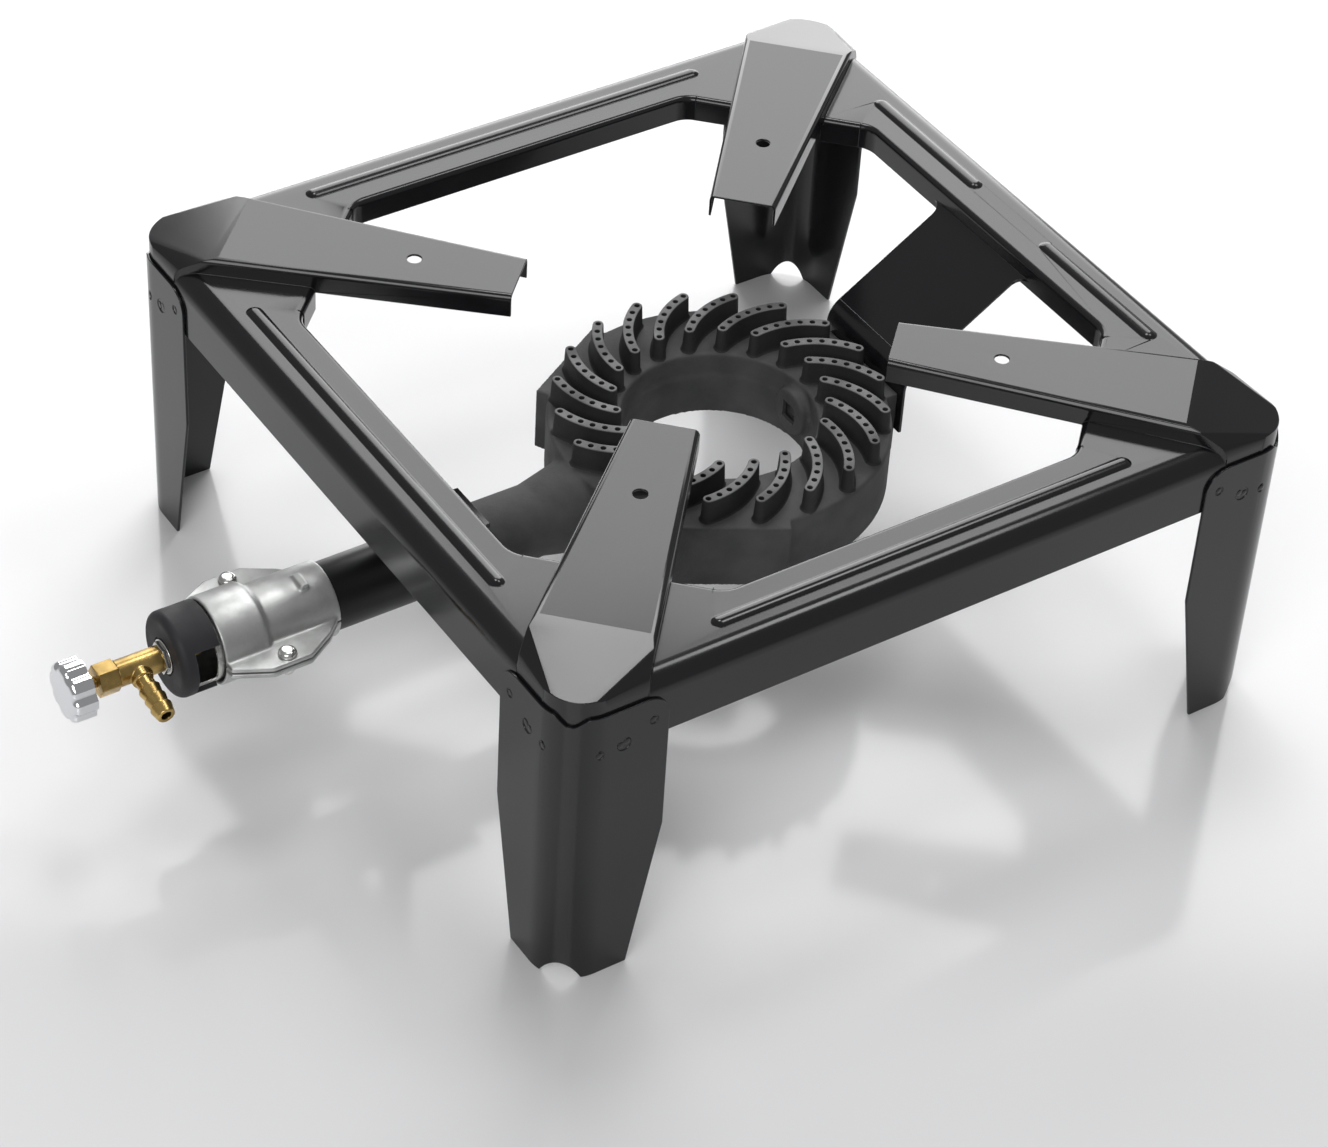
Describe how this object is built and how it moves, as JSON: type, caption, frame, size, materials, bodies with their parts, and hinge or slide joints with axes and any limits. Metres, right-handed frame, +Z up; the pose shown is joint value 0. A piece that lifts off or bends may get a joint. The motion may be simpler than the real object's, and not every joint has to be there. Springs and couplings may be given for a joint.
{
  "type": "gas stove",
  "caption": "Low square gas stove: pressed enamelled top on four folded legs, cast ring burner with swirl vanes, mixing tube, air cap, needle valve and hose barb.",
  "frame": {"origin": "on the floor, below the middle of the whole object's box; the stand's own centre lies 69.7 mm behind it", "axes": "+Z up, -Y towards the valve's knob, +X to the right as seen from the knob's side"},
  "size_m": [0.4, 0.5394, 0.175],
  "materials": {
    "black_enamel": "gloss black enamel",
    "cast_iron": "as cast, painted dark grey",
    "tube_paint": "satin black paint",
    "zinc_casting": "bright tumbled casting",
    "zinc_plate": "zinc plated",
    "dark_cap": "matt dark grey",
    "brass": "turned, bright",
    "chrome": "polished chrome",
    "packing": "white packing ring"
  },
  "bodies": {
    "stand": {"top_frame": "black_enamel", "leg_front_left": "black_enamel", "leg_front_right": "black_enamel", "leg_rear_left": "black_enamel", "leg_rear_right": "black_enamel", "burner": "cast_iron", "rear_strap": "black_enamel", "rear_bolt": "zinc_plate", "rear_nut": "zinc_plate", "front_bracket": "black_enamel", "front_bolt": "zinc_plate", "mixing_tube": "tube_paint", "clamp_upper": "zinc_casting", "clamp_lower": "zinc_casting", "clamp_screws": "zinc_plate", "clamp_nuts": "zinc_plate", "air_sleeve": "zinc_plate", "sleeve_nut": "zinc_plate", "lock_washer": "zinc_plate", "lock_nut": "zinc_plate", "injector": "brass", "valve_body": "brass", "gland_nut": "brass", "stem_packing": "packing"},
    "air_cap": {"air_cap": "dark_cap"},
    "spindle": {"valve_stem": "brass", "knob": "chrome"}
  },
  "joints": [
    {"name": "air_cap_turn", "type": "hinge", "parent": "stand", "child": "air_cap", "pos_m": [0, -0.2083, 0.083], "axis": [0, -1, 0], "range_deg": [0, 60]},
    {"name": "valve_turn", "type": "hinge", "parent": "stand", "child": "spindle", "pos_m": [0, -0.2637, 0.083], "axis": [0, -1, 0], "range_deg": [0, 540]}
  ]
}
